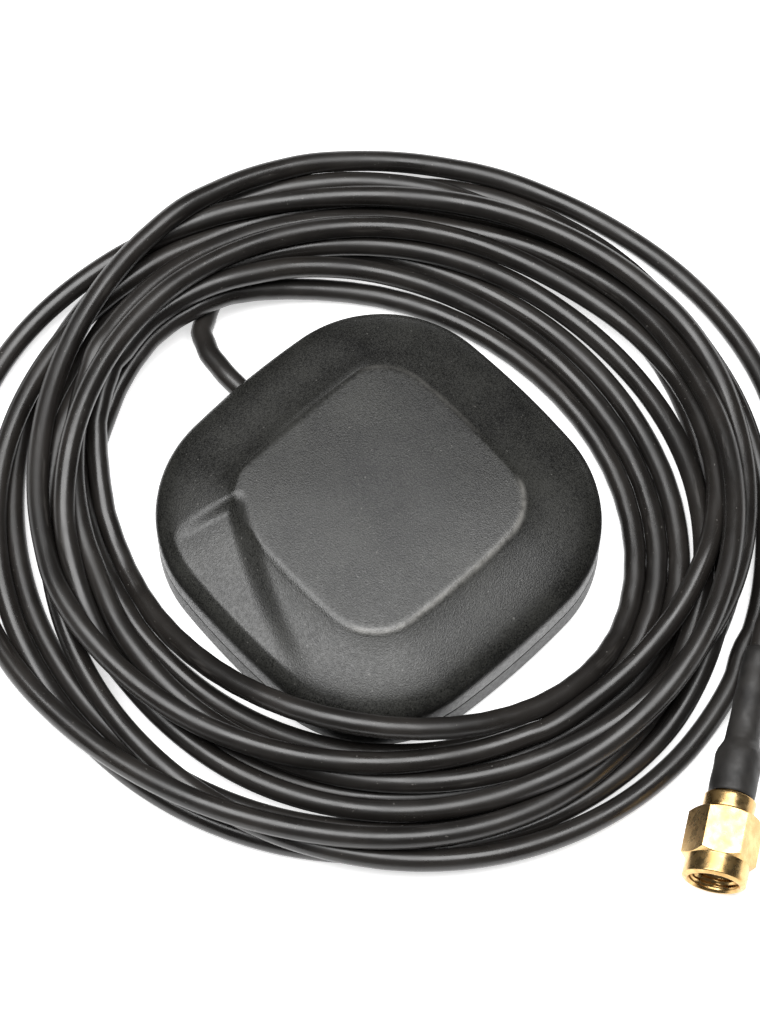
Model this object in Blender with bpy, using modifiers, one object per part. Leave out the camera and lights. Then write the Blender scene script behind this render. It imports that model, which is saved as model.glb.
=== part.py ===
"""Magnetic-mount active GNSS antenna with a coiled coax lead and an SMA plug.

Frame: metres, +Z up. The origin is at the centre of the puck's underside. The puck's sides
run along X and Y, the lead leaves the middle of the +Y side, and the plug lies on the -Y side.
"""
import bpy
import bmesh
import math
from mathutils import Vector, Matrix

for _o in list(bpy.data.objects):
    bpy.data.objects.remove(_o, do_unlink=True)

MM = 0.001
GAP = 0.3 * MM                 # clearance kept between neighbouring pieces

# ---- puck outline ----
PUCK_HALF = 25.0 * MM          # half width at the middle of a side
PUCK_CORNER_R = 17.0 * MM      # corner radius of the outline
PUCK_SIDE_BULGE = 0.29 * MM    # how far a side bows out between its corners
PUCK_HEIGHT = 14.1 * MM        # underside of the pad to the crown of the plateau
SEAM_Z = 4.75 * MM             # parting line between base and cover
WALL = 1.6 * MM                # moulded wall thickness
COVER_SIDE_TOP_Z = 8.0 * MM    # where the cover's side starts to round over
PLATEAU_INSET = 10.0 * MM      # outline inset of the plateau's edge
PLATEAU_Z = 13.75 * MM         # height of the plateau at its edge
SEG_SIDE, SEG_CORNER = 5, 6    # outline facets on a side and on a corner

# ---- base ----
PAD_THICK = 0.8 * MM
PAD_INSET = 2.2 * MM
BASE_BOTTOM_Z = 0.5 * MM
BASE_RECESS_Z = PAD_THICK + GAP
BASE_FLOOR_Z = 2.3 * MM
BASE_RIM_Z = SEAM_Z - GAP / 2
COVER_RIM_Z = SEAM_Z + GAP / 2
GASKET_THICK, GASKET_Z0, GASKET_Z1 = 1.0 * MM, 2.7 * MM, 6.2 * MM

# ---- fasteners ----
SCREW_POS = 15.6 * MM          # screw axes at (+-, +-)
BOSS_R, PILOT_R = 2.4 * MM, 1.2 * MM
SCREW_R, SCREW_HEAD_R, SCREW_HEAD_T, SCREW_TOP_Z = 0.85 * MM, 1.9 * MM, 0.9 * MM, 7.6 * MM

# ---- electronics ----
MAGNET = (7.0 * MM, 22.0 * MM, 2.4 * MM)
MAGNET_X = 14.2 * MM
BOARD = (27.0 * MM, 27.0 * MM, 0.8 * MM)
BOARD_Z0 = 5.6 * MM
POST_R, POST_XY = 1.2 * MM, (8.0 * MM, 12.2 * MM)
CAN = (15.0 * MM, 15.0 * MM, 2.2 * MM)
CAN_Y, CAN_Z0, CAN_T = -1.5 * MM, 3.1 * MM, 0.3 * MM
CERAMIC = (25.0 * MM, 25.0 * MM, 4.0 * MM)
CERAMIC_Z0 = 7.2 * MM
ELECTRODE = (21.0 * MM, 21.0 * MM, 0.15 * MM)
FEED_XY = (0.0, 1.8 * MM)
FEED_R, FEED_HOLE_R = 0.45 * MM, 0.8 * MM

# ---- lead ----
CABLE_R = 1.4 * MM             # RG-174 type coax, 2.8 mm over the jacket
EXIT_Z = SEAM_Z                # the lead leaves on the parting line
GROMMET_R = 2.5 * MM
COIL_CENTRE = (2.0 * MM, 2.9 * MM)
COIL_R_IN, COIL_R_OUT, COIL_H = 33.3 * MM, 49.8 * MM, 8.2 * MM

# ---- SMA plug, measured back from its front face ----
PLUG_TIP = Vector((-2.2 * MM, -61.7 * MM, 4.05 * MM))
PLUG_FORWARD = Vector((-0.8287, -0.5601, 0.0)).normalized()
NUT_AF = 8.0 * MM              # across flats
NUT_RING_R, NUT_RING_LEN, NUT_LEN = 3.95 * MM, 2.7 * MM, 8.7 * MM
COLLAR_R, COLLAR_A0, COLLAR_A1 = 3.2 * MM, 9.0 * MM, 11.0 * MM
SLEEVE_R, SLEEVE_NECK_R, SLEEVE_STEP_A, SLEEVE_END_A = 2.9 * MM, 2.1 * MM, 17.0 * MM, 31.0 * MM

# ---------------------------------------------------------------- collections and materials
PARTS = bpy.data.collections.new("gnss_antenna")
CUTTERS = bpy.data.collections.new("cutters")
bpy.context.scene.collection.children.link(PARTS)
bpy.context.scene.collection.children.link(CUTTERS)


def material(name, rgb, rough, metal=0.0):
    m = bpy.data.materials.new(name)
    m.use_nodes = True
    b = m.node_tree.nodes["Principled BSDF"]
    b.inputs["Base Color"].default_value = (*rgb, 1.0)
    b.inputs["Roughness"].default_value = rough
    b.inputs["Metallic"].default_value = metal
    return m


def finish(obj, mat, smooth=False, collection=PARTS):
    obj.data.materials.clear()
    obj.data.materials.append(mat)
    for c in list(obj.users_collection):
        c.objects.unlink(obj)
    collection.objects.link(obj)
    if smooth and obj.type == "MESH":
        obj.data.shade_smooth()
        obj.data.set_sharp_from_angle(angle=math.radians(40))
    return obj


def as_cutter(obj):
    for c in list(obj.users_collection):
        c.objects.unlink(obj)
    CUTTERS.objects.link(obj)
    obj.hide_render = True
    obj.display_type = "WIRE"
    return obj


def mesh_object(name, mesh):
    obj = bpy.data.objects.new(name, mesh)
    PARTS.objects.link(obj)
    return obj


# ---------------------------------------------------------------- shape helpers
def outline(inset):
    """Rounded square with bowed sides, moved in by `inset`, counter-clockwise."""
    s, r, b = PUCK_HALF, PUCK_CORNER_R, PUCK_SIDE_BULGE
    half_chord = s - r
    big_r = (half_chord ** 2 + b ** 2) / (2 * b)
    k = big_r - s
    c = (-2 * k + math.sqrt(4 * k * k - 8 * (k * k - (big_r - r) ** 2))) / 4
    ang = math.atan2(c, c + k)
    quarter = []
    for i in range(SEG_SIDE):
        t = -ang + 2 * ang * i / SEG_SIDE
        quarter.append((-k + (big_r - inset) * math.cos(t), (big_r - inset) * math.sin(t)))
    for i in range(SEG_CORNER):
        t = ang + (math.pi / 2 - 2 * ang) * i / SEG_CORNER
        quarter.append((c + (r - inset) * math.cos(t), c + (r - inset) * math.sin(t)))
    pts = []
    for q in range(4):
        a = q * math.pi / 2
        ca, sa = round(math.cos(a)), round(math.sin(a))
        pts += [(x * ca - y * sa, x * sa + y * ca) for x, y in quarter]
    return pts


def slab(name, loops, z0, z1):
    """Flat outline (first loop) with holes (other loops), from z0 to z1."""
    cu = bpy.data.curves.new(name, "CURVE")
    cu.dimensions = "2D"
    cu.fill_mode = "BOTH"
    cu.extrude = (z1 - z0) / 2
    for pts in loops:
        sp = cu.splines.new("POLY")
        sp.points.add(len(pts) - 1)
        for p, (x, y) in zip(sp.points, pts):
            p.co = (x, y, 0, 1)
        sp.use_cyclic_u = True
    ob = bpy.data.objects.new(name + "_outline", cu)
    ob.location = (0, 0, (z0 + z1) / 2)
    bpy.context.scene.collection.objects.link(ob)
    dg = bpy.context.evaluated_depsgraph_get()
    me = bpy.data.meshes.new_from_object(ob.evaluated_get(dg))
    mw = ob.matrix_world.copy()
    bpy.data.objects.remove(ob, do_unlink=True)
    bm = bmesh.new()
    bm.from_mesh(me)
    bmesh.ops.remove_doubles(bm, verts=bm.verts, dist=1e-6)
    bmesh.ops.recalc_face_normals(bm, faces=bm.faces)
    bm.to_mesh(me)
    bm.free()
    obj = mesh_object(name, me)
    obj.matrix_world = mw
    return obj


def box(name, size, centre, bevel=0.0, seg=1):
    me = bpy.data.meshes.new(name)
    bm = bmesh.new()
    bmesh.ops.create_cube(bm, size=1.0)
    bmesh.ops.scale(bm, vec=size, verts=bm.verts)
    bm.to_mesh(me)
    bm.free()
    obj = mesh_object(name, me)
    obj.location = centre
    if bevel:
        m = obj.modifiers.new("edge", "BEVEL")
        m.width = bevel
        m.segments = seg
        m.limit_method = "ANGLE"
    return obj


def cylinder(name, r, z0, z1, at=(0, 0), seg=16):
    me = bpy.data.meshes.new(name)
    bm = bmesh.new()
    bmesh.ops.create_cone(bm, cap_ends=True, segments=seg, radius1=r, radius2=r, depth=z1 - z0)
    bm.to_mesh(me)
    bm.free()
    obj = mesh_object(name, me)
    obj.location = (at[0], at[1], (z0 + z1) / 2)
    return obj


def turned(name, profile, steps=20, closed=True):
    """Profile of (radius, height) points that runs down the outer side, turned about Z."""
    me = bpy.data.meshes.new(name)
    n = len(profile)
    edges = [(i, i + 1) for i in range(n - 1)] + ([(n - 1, 0)] if closed else [])
    me.from_pydata([(r, 0.0, z) for r, z in profile], edges, [])
    obj = mesh_object(name, me)
    m = obj.modifiers.new("turn", "SCREW")
    m.axis = "Z"
    m.angle = 2 * math.pi
    m.steps = steps
    m.render_steps = steps
    m.use_merge_vertices = True
    m.merge_threshold = 1e-6
    m.use_smooth_shade = True
    return obj


def baked(obj):
    """The object with its modifiers applied, at the same place."""
    dg = bpy.context.evaluated_depsgraph_get()
    me = bpy.data.meshes.new_from_object(obj.evaluated_get(dg))
    obj.modifiers.clear()
    obj.data = me
    return obj


def boolean(obj, other, op="DIFFERENCE"):
    m = obj.modifiers.new(op.lower(), "BOOLEAN")
    m.operation = op
    m.object = other
    m.solver = "EXACT"
    as_cutter(other)
    return obj


def tube(name, pts, r, res=2):
    cu = bpy.data.curves.new(name, "CURVE")
    cu.dimensions = "3D"
    cu.bevel_depth = r
    cu.bevel_resolution = res
    cu.use_fill_caps = True
    sp = cu.splines.new("POLY")
    sp.points.add(len(pts) - 1)
    for p, co in zip(sp.points, pts):
        p.co = (*co, 1)
    obj = bpy.data.objects.new(name, cu)
    PARTS.objects.link(obj)
    return obj


def smooth_route(knots, step):
    """Points every `step` or so on a smooth curve (centripetal Catmull-Rom) through the knots."""
    k = [Vector(p) for p in knots]
    k = [2 * k[0] - k[1]] + k + [2 * k[-1] - k[-2]]
    out = []
    for i in range(1, len(k) - 2):
        p0, p1, p2, p3 = k[i - 1:i + 3]
        t1 = (p1 - p0).length ** 0.5
        t2 = t1 + (p2 - p1).length ** 0.5
        t3 = t2 + (p3 - p2).length ** 0.5
        n = max(2, round((p2 - p1).length / step))
        for j in range(n):
            t = t1 + (t2 - t1) * j / n
            a1 = p0 * ((t1 - t) / t1) + p1 * (t / t1)
            a2 = p1 * ((t2 - t) / (t2 - t1)) + p2 * ((t - t1) / (t2 - t1))
            a3 = p2 * ((t3 - t) / (t3 - t2)) + p3 * ((t - t2) / (t3 - t2))
            b1 = a1 * ((t2 - t) / t2) + a2 * (t / t2)
            b2 = a2 * ((t3 - t) / (t3 - t1)) + a3 * ((t - t1) / (t3 - t1))
            out.append(b1 * ((t2 - t) / (t2 - t1)) + b2 * ((t - t1) / (t2 - t1)))
    out.append(k[-2])
    return out


# ---------------------------------------------------------------- cover surface
def ease(t):
    t = min(1.0, max(0.0, t))
    return t * t * (3 - 2 * t)


RIM_PROFILE = [(0.0, 8.0), (0.12, 8.7), (0.5, 9.5), (1.2, 10.2), (2.2, 10.8), (3.0, 11.15),
               (9.2, 13.2), (9.8, 13.55), (10.4, 13.75)]


def rim_height(d):
    """Height over the outline inset d, both in millimetres, away from the finger scoops."""
    if d >= RIM_PROFILE[-1][0]:
        return RIM_PROFILE[-1][1]
    for (d0, z0), (d1, z1) in zip(RIM_PROFILE, RIM_PROFILE[1:]):
        if d <= d1:
            return z0 + (z1 - z0) * (d - d0) / (d1 - d0)


def cover_height(x, y, d):
    """Top surface of the cover in millimetres: rim, sloped shoulder, a finger scoop whose
    crease sweeps out from the plateau's -X +Y corner, and a slightly crowned plateau."""
    z = rim_height(d)
    ax = abs(x)
    # a step down behind the plateau on the lead's side
    z -= 0.6 * ease((y - 14.1) / 1.8) * (1 - ease((y - 16.2) / 6.0)) * (1 - ease((ax - 8.5) / 5.5))
    # scoop on the -X side
    run = 12.5 - y
    crease = 12.8 + 0.58 * run - 0.0075 * run * run
    side = ease(((-x - crease) * 0.87 + 1.5) / 3.0)
    top_end = 12.3 + 0.286 * (-x - 14.5)
    side *= 1 - ease((y - top_end + 0.75) / 1.5)
    side *= ease((y + 12.0) / 7.0)
    facet = 10.25 + 0.2 * d
    z += (min(z, facet) - z) * side
    if d >= PLATEAU_INSET / MM:
        q = max(ax, abs(y)) / 14.6
        z += 0.35 * (1 - q * q)
    return z


def cover_shell(name):
    """Open outer surface of the cover as a loft of outline rings, thickened inwards."""
    rings = []
    for d, z in ((0, COVER_RIM_Z), (0, 6.4 * MM)):
        rings.append([(x, y, z) for x, y in outline(d)])
    for d in (0.0, 0.4, 1.2, 2.4, 4.0, 6.0, 7.8, 9.2, 9.8):
        rings.append([(x, y, cover_height(x / MM, y / MM, d) * MM) for x, y in outline(d * MM)])
    edge = outline(10.4 * MM)
    for f in (1.0, 0.66, 0.33):
        rings.append([(x * f, y * f, cover_height(x * f / MM, y * f / MM, 10.4) * MM)
                      for x, y in edge])
    me = bpy.data.meshes.new(name)
    bm = bmesh.new()
    loops = [[bm.verts.new(p) for p in ring] for ring in rings]
    n = len(loops[0])
    for a, b in zip(loops, loops[1:]):
        for i in range(n):
            j = (i + 1) % n
            bm.faces.new((a[i], a[j], b[j], b[i]))
    top = bm.verts.new((0, 0, cover_height(0, 0, 10.4) * MM))
    for i in range(n):
        bm.faces.new((loops[-1][i], loops[-1][(i + 1) % n], top))
    bm.to_mesh(me)
    bm.free()
    obj = mesh_object(name, me)
    m = obj.modifiers.new("wall", "SOLIDIFY")
    m.thickness = WALL
    m.offset = -1
    m.use_rim = True
    return obj


# ---------------------------------------------------------------- materials
black_abs = material("black_abs_stippled", (0.035, 0.035, 0.034), 0.55)
base_abs = material("black_abs_base", (0.045, 0.045, 0.044), 0.5)
rubber = material("black_rubber", (0.02, 0.02, 0.02), 0.8)
jacket = material("cable_jacket_pvc", (0.017, 0.016, 0.015), 0.33)
shrink = material("heat_shrink_polyolefin", (0.025, 0.024, 0.024), 0.5)
gold = material("gold_plated_brass", (0.83, 0.58, 0.24), 0.24, 1.0)
steel = material("zinc_plated_steel", (0.62, 0.62, 0.60), 0.3, 1.0)
nickel = material("nickel_plated_magnet", (0.58, 0.58, 0.57), 0.25, 1.0)
tinned = material("tinned_steel", (0.68, 0.68, 0.66), 0.3, 1.0)
silver = material("fired_silver", (0.75, 0.74, 0.70), 0.4, 1.0)
ceramic = material("patch_ceramic", (0.62, 0.58, 0.48), 0.5)
fr4 = material("board_fr4", (0.02, 0.13, 0.05), 0.4)
epoxy = material("chip_epoxy", (0.02, 0.02, 0.022), 0.45)
filter_mat = material("filter_lid", (0.6, 0.55, 0.4), 0.3, 1.0)
tape_mat = material("acrylic_tape", (0.7, 0.7, 0.66), 0.6)
ptfe = material("ptfe", (0.85, 0.84, 0.8), 0.45)

# ---------------------------------------------------------------- base
base = slab("base_plate", [outline(0)], BASE_BOTTOM_Z, BASE_RIM_Z)
boolean(base, slab("cut_tray", [outline(WALL)], BASE_FLOOR_Z, BASE_RIM_Z + MM))
boolean(base, slab("cut_pad_recess", [outline(PAD_INSET - GAP)], -MM, BASE_RECESS_Z))
for i, (sx, sy) in enumerate(((1, 1), (-1, 1), (-1, -1), (1, -1))):
    boolean(base, cylinder("post_%d" % (i + 1), POST_R, BASE_FLOOR_Z - 0.5 * MM, BOARD_Z0 - GAP,
                           (sx * POST_XY[0], sy * POST_XY[1]), 12), "UNION")
    sink = turned("cut_screw_hole_%d" % (i + 1),
                  [(0.0, 3.0 * MM), (SCREW_R + GAP, 3.0 * MM),
                   (SCREW_R + GAP, BASE_RECESS_Z + SCREW_HEAD_T + GAP),
                   (SCREW_HEAD_R + GAP, BASE_RECESS_Z + SCREW_HEAD_T + GAP - 0.7 * MM),
                   (SCREW_HEAD_R + GAP, 0.2 * MM), (0.0, 0.2 * MM)], 12, closed=False)
    sink.location = (sx * SCREW_POS, sy * SCREW_POS, 0)
    boolean(base, sink)


def exit_cutter(name, r, y0, y1):
    c = cylinder(name, r, y0, y1, seg=16)
    c.rotation_euler = (-math.pi / 2, 0, 0)
    c.location = (0, (y0 + y1) / 2, EXIT_Z)
    return c


boolean(base, exit_cutter("cut_base_exit", GROMMET_R + GAP, 18 * MM, 30 * MM))
finish(base, base_abs)

pad = slab("bottom_pad", [outline(PAD_INSET)], 0.0, PAD_THICK)
finish(pad, rubber)

gasket = slab("seal_gasket", [outline(WALL + GAP), outline(WALL + GAP + GASKET_THICK)[::-1]],
              GASKET_Z0, GASKET_Z1)
boolean(gasket, exit_cutter("cut_gasket_exit", GROMMET_R + GAP, 18 * MM, 30 * MM))
finish(gasket, rubber)

for side, x in (("left", -MAGNET_X), ("right", MAGNET_X)):
    finish(box("magnet_" + side, MAGNET, (x, 0, BASE_FLOOR_Z + GAP + MAGNET[2] / 2), 0.3 * MM),
           nickel)

# ---------------------------------------------------------------- cover
cover = cover_shell("top_cover")
for i, (sx, sy) in enumerate(((1, 1), (-1, 1), (-1, -1), (1, -1))):
    at = (sx * SCREW_POS, sy * SCREW_POS)
    boolean(cover, cylinder("boss_%d" % (i + 1), BOSS_R, BASE_FLOOR_Z + GAP, 10.4 * MM, at, 14),
            "UNION")
    boolean(cover, cylinder("cut_pilot_%d" % (i + 1), PILOT_R, 0, SCREW_TOP_Z + 0.6 * MM, at, 10))
boolean(cover, exit_cutter("cut_cover_exit", GROMMET_R + GAP, 18 * MM, 30 * MM))
finish(cover, black_abs, smooth=True)

for i, (sx, sy) in enumerate(((1, 1), (-1, 1), (-1, -1), (1, -1))):
    z0 = BASE_RECESS_Z
    s = turned("screw_%d" % (i + 1),
               [(0.0, SCREW_TOP_Z), (0.35 * MM, SCREW_TOP_Z), (SCREW_R, SCREW_TOP_Z - 0.8 * MM),
                (SCREW_R, z0 + SCREW_HEAD_T), (SCREW_HEAD_R, z0 + 0.25 * MM), (SCREW_HEAD_R, z0),
                (0.0, z0)], 12, closed=False)
    s.location = (sx * SCREW_POS, sy * SCREW_POS, 0)
    slot = box("cut_screw_slot_%d" % (i + 1), (0.5 * MM, 2.6 * MM, 0.8 * MM), (0, 0, 0))
    slot.location = (sx * SCREW_POS, sy * SCREW_POS, z0)
    boolean(s, slot)
    slot2 = box("cut_screw_cross_%d" % (i + 1), (2.6 * MM, 0.5 * MM, 0.8 * MM), (0, 0, 0))
    slot2.location = (sx * SCREW_POS, sy * SCREW_POS, z0)
    boolean(s, slot2)
    finish(s, steel)

# ---------------------------------------------------------------- electronics
board = box("lna_board", BOARD, (0, 0, BOARD_Z0 + BOARD[2] / 2))
boolean(board, cylinder("cut_board_feed", FEED_HOLE_R, 0, 12 * MM, FEED_XY, 10))
finish(board, fr4)

can = box("shield_can", CAN, (0, CAN_Y, CAN_Z0 + CAN[2] / 2))
boolean(can, box("cut_can", (CAN[0] - 2 * CAN_T, CAN[1] - 2 * CAN_T, CAN[2]),
                 (0, CAN_Y, CAN_Z0 + CAN[2] / 2 + CAN_T)))
finish(can, tinned)

chip_z = BOARD_Z0 - GAP
finish(box("lna_chip", (2.0 * MM, 2.0 * MM, 0.75 * MM), (-3.2 * MM, -4.5 * MM, chip_z - 0.375 * MM)), epoxy)
finish(box("saw_filter", (3.0 * MM, 3.0 * MM, 1.1 * MM), (2.6 * MM, -4.2 * MM, chip_z - 0.55 * MM)), filter_mat)
finish(box("bypass_capacitor", (1.6 * MM, 0.8 * MM, 0.8 * MM), (-3.4 * MM, -0.6 * MM, chip_z - 0.4 * MM)), ceramic)

tape = box("patch_tape", (24 * MM, 24 * MM, 0.2 * MM), (0, 0, BOARD_Z0 + BOARD[2] + GAP + 0.1 * MM))
boolean(tape, cylinder("cut_tape_feed", FEED_HOLE_R, 0, 12 * MM, FEED_XY, 10))
finish(tape, tape_mat)

patch = box("patch_ceramic", CERAMIC, (0, 0, CERAMIC_Z0 + CERAMIC[2] / 2), 0.3 * MM)
boolean(patch, cylinder("cut_patch_feed", FEED_HOLE_R, 0, 13 * MM, FEED_XY, 10))
finish(patch, ceramic)

elec_z = CERAMIC_Z0 + CERAMIC[2] + GAP
elec = box("patch_electrode", ELECTRODE, (0, 0, elec_z + ELECTRODE[2] / 2))
boolean(elec, cylinder("cut_electrode_feed", FEED_HOLE_R, 0, 13 * MM, FEED_XY, 10))
finish(elec, silver)

pin_head = elec_z + ELECTRODE[2] + 0.1 * MM
feed = turned("feed_pin", [(0.0, pin_head + 0.3 * MM), (0.5 * MM, pin_head + 0.25 * MM),
                           (0.75 * MM, pin_head), (FEED_R, pin_head), (FEED_R, 4.9 * MM),
                           (0.0, 4.9 * MM)], 12, closed=False)
feed.location = (FEED_XY[0], FEED_XY[1], 0)
finish(feed, gold)

# ---------------------------------------------------------------- lead inside the puck
grommet = turned("cable_grommet", [(GROMMET_R, 3.2 * MM), (GROMMET_R, 0.0),
                                   (CABLE_R + GAP, 0.0), (CABLE_R + GAP, 3.2 * MM)], 16)
grommet.rotation_euler = (-math.pi / 2, 0, 0)
grommet.location = (0, 21.4 * MM, EXIT_Z)
finish(grommet, rubber)

core = tube("cable_core", smooth_route([(0, 16.5 * MM, EXIT_Z), (0, 13.5 * MM, 4.5 * MM),
                                        (0, 7.4 * MM, 4.5 * MM)], 2 * MM), 0.7 * MM, 1)
finish(core, ptfe)
clamp = box("cable_ground_clamp", (4.4 * MM, 2.4 * MM, 2.3 * MM), (0, 10.8 * MM, 4.15 * MM))
boolean(clamp, box("cut_clamp", (2.0 * MM, 6 * MM, 3 * MM), (0, 10.8 * MM, 5.0 * MM)))
finish(clamp, tinned)

# ---------------------------------------------------------------- lead outside the puck
cx, cy = COIL_CENTRE
lead_end = (1.2 * MM, cy + COIL_R_IN - 2 * GAP, 3.4 * MM)
lead = tube("cable_lead_out", smooth_route(
    [(0, 16.9 * MM, EXIT_Z), (0, 21.0 * MM, EXIT_Z), (0, 26.0 * MM, EXIT_Z),
     (0.3 * MM, 30.0 * MM, 4.3 * MM), (1.0 * MM, 34.4 * MM, 3.5 * MM), lead_end], 3 * MM), CABLE_R)
finish(lead, jacket)

coil = turned("cable_coil", [
    (COIL_R_IN, COIL_H - 3.0 * MM), (COIL_R_IN + 2.0 * MM, COIL_H - 0.5 * MM),
    (COIL_R_IN + 5.5 * MM, COIL_H), (COIL_R_OUT - 6.0 * MM, COIL_H),
    (COIL_R_OUT - 2.2 * MM, COIL_H - 1.4 * MM), (COIL_R_OUT, COIL_H - 4.0 * MM),
    (COIL_R_OUT, 0.6 * MM), (COIL_R_OUT - 0.6 * MM, 0.0), (COIL_R_IN + 0.6 * MM, 0.0),
    (COIL_R_IN, 0.6 * MM)], 48)
coil.location = (cx, cy, 0)
finish(coil, jacket)

BACK = -PLUG_FORWARD


def plug_point(a, z=None):
    p = PLUG_TIP + BACK * a
    return (p.x, p.y, PLUG_TIP.z if z is None else z)


def around_coil(angle_deg, r, z):
    a = math.radians(angle_deg)
    return (cx + r * math.cos(a), cy + r * math.sin(a), z)


tail = tube("cable_tail", smooth_route(
    [plug_point(17.5 * MM), plug_point(24.0 * MM), plug_point(32.0 * MM),
     plug_point(38.0 * MM, 3.3 * MM), around_coil(-33, 55.2 * MM, 2.2 * MM),
     around_coil(-22, 55.8 * MM, 1.6 * MM), around_coil(-8, 55.8 * MM, 1.5 * MM),
     around_coil(6, 54.2 * MM, 1.5 * MM), around_coil(15, 52.3 * MM, 1.5 * MM),
     around_coil(22, 51.6 * MM, 1.5 * MM)],
    5 * MM), CABLE_R)
finish(tail, jacket)

# ---------------------------------------------------------------- SMA plug
# Local frame: origin at the front face, +Z forward, +X up, so heights below are negative.
side = Vector((PLUG_FORWARD.y, -PLUG_FORWARD.x, 0.0))
plug_axis = bpy.data.objects.new("plug_axis", None)
PARTS.objects.link(plug_axis)
plug_axis.matrix_world = Matrix((
    (0.0, side.x, PLUG_FORWARD.x, PLUG_TIP.x),
    (0.0, side.y, PLUG_FORWARD.y, PLUG_TIP.y),
    (1.0, 0.0, PLUG_FORWARD.z, PLUG_TIP.z),
    (0.0, 0.0, 0.0, 1.0)))


def on_plug(obj):
    obj.parent = plug_axis
    return obj


corner_r = NUT_AF / 2 / math.cos(math.pi / 6)
nut = on_plug(turned("coupling_nut", [
    (3.5 * MM, 0.0), (NUT_RING_R, -0.3 * MM), (NUT_RING_R, -NUT_RING_LEN),
    (corner_r + 0.1 * MM, -NUT_RING_LEN - 0.45 * MM), (corner_r + 0.1 * MM, -NUT_LEN + 0.35 * MM),
    (4.0 * MM, -NUT_LEN), (2.75 * MM, -NUT_LEN), (2.75 * MM, -6.7 * MM), (3.35 * MM, -6.7 * MM),
    (3.35 * MM, -5.5 * MM), (3.05 * MM, -5.5 * MM), (3.05 * MM, -0.35 * MM), (3.3 * MM, 0.0)], 32))
hexa = on_plug(cylinder("hex_stock", corner_r, -NUT_LEN - MM, MM, seg=6))
boolean(nut, hexa, "INTERSECT")
finish(nut, gold)

body = on_plug(turned("connector_body", [
    (2.15 * MM, -3.4 * MM), (2.15 * MM, -5.0 * MM), (2.4 * MM, -5.0 * MM), (2.4 * MM, -5.45 * MM),
    (2.1 * MM, -5.45 * MM), (2.1 * MM, -6.7 * MM), (2.4 * MM, -6.7 * MM), (2.4 * MM, -COLLAR_A0),
    (COLLAR_R - 0.15 * MM, -COLLAR_A0), (COLLAR_R, -COLLAR_A0 - 0.15 * MM),
    (COLLAR_R, -COLLAR_A1 + 0.15 * MM), (COLLAR_R - 0.15 * MM, -COLLAR_A1),
    (0.95 * MM, -COLLAR_A1), (0.95 * MM, -16.5 * MM), (0.65 * MM, -16.5 * MM),
    (0.65 * MM, -8.6 * MM), (1.85 * MM, -8.6 * MM), (1.85 * MM, -3.4 * MM)], 24))
finish(body, gold)

insert = on_plug(turned("dielectric_insert", [
    (1.55 * MM, -3.4 * MM), (1.55 * MM, -8.3 * MM), (0.76 * MM, -8.3 * MM),
    (0.76 * MM, -3.4 * MM)], 20))
finish(insert, ptfe)

pin = on_plug(turned("center_pin", [
    (0.0, -1.1 * MM), (0.18 * MM, -1.15 * MM), (0.46 * MM, -1.75 * MM), (0.46 * MM, -8.2 * MM),
    (0.33 * MM, -8.5 * MM), (0.33 * MM, -12.5 * MM), (0.0, -12.5 * MM)], 14, closed=False))
finish(pin, gold)

ring_r = 2.72 * MM
arc = [(ring_r * math.cos(t), ring_r * math.sin(t), -6.08 * MM)
       for t in [math.radians(18 + 324 * i / 22) for i in range(23)]]
snap = on_plug(tube("snap_ring", arc, 0.26 * MM, 1))
finish(snap, steel)

seal = on_plug(turned("mating_seal_ring", [
    (2.75 * MM, -4.15 * MM), (2.75 * MM, -4.75 * MM), (2.45 * MM, -4.75 * MM),
    (2.45 * MM, -4.15 * MM)], 20))
finish(seal, rubber)

ferrule = on_plug(turned("crimp_ferrule", [
    (2.3 * MM, -11.3 * MM), (2.3 * MM, -SLEEVE_STEP_A), (1.6 * MM, -SLEEVE_STEP_A),
    (1.6 * MM, -11.3 * MM)], 20))
finish(ferrule, gold)

sleeve = on_plug(turned("heat_shrink", [
    (SLEEVE_R, -11.3 * MM), (SLEEVE_R, -SLEEVE_STEP_A - 0.1 * MM),
    (SLEEVE_NECK_R + 0.1 * MM, -SLEEVE_STEP_A - 1.0 * MM), (SLEEVE_NECK_R, -SLEEVE_END_A),
    (CABLE_R + GAP, -SLEEVE_END_A), (CABLE_R + GAP, -SLEEVE_STEP_A - 0.6 * MM),
    (2.6 * MM, -SLEEVE_STEP_A - 0.2 * MM), (2.6 * MM, -11.3 * MM)], 20))
finish(sleeve, shrink)

bpy.context.view_layer.update()
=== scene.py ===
"""Looks of the magnetic-mount GNSS antenna: coiled coax lead, moulded puck and gold SMA plug."""

import bpy
import bmesh
import math
import numpy as np
from mathutils import Matrix, Vector


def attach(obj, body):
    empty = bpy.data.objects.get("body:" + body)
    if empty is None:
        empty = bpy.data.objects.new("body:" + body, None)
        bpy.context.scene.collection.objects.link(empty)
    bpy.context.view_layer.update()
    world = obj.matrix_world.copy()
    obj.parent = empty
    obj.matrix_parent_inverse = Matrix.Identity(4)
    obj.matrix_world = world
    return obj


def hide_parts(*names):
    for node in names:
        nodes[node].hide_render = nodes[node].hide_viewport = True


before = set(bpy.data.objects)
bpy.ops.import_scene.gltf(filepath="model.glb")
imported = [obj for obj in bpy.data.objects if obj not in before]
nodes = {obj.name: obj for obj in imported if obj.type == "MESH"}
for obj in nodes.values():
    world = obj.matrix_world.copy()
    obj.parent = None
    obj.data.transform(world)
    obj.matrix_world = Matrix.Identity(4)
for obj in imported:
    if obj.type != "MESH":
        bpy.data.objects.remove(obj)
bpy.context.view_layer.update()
scene = bpy.context.scene
MM = 0.001

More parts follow.
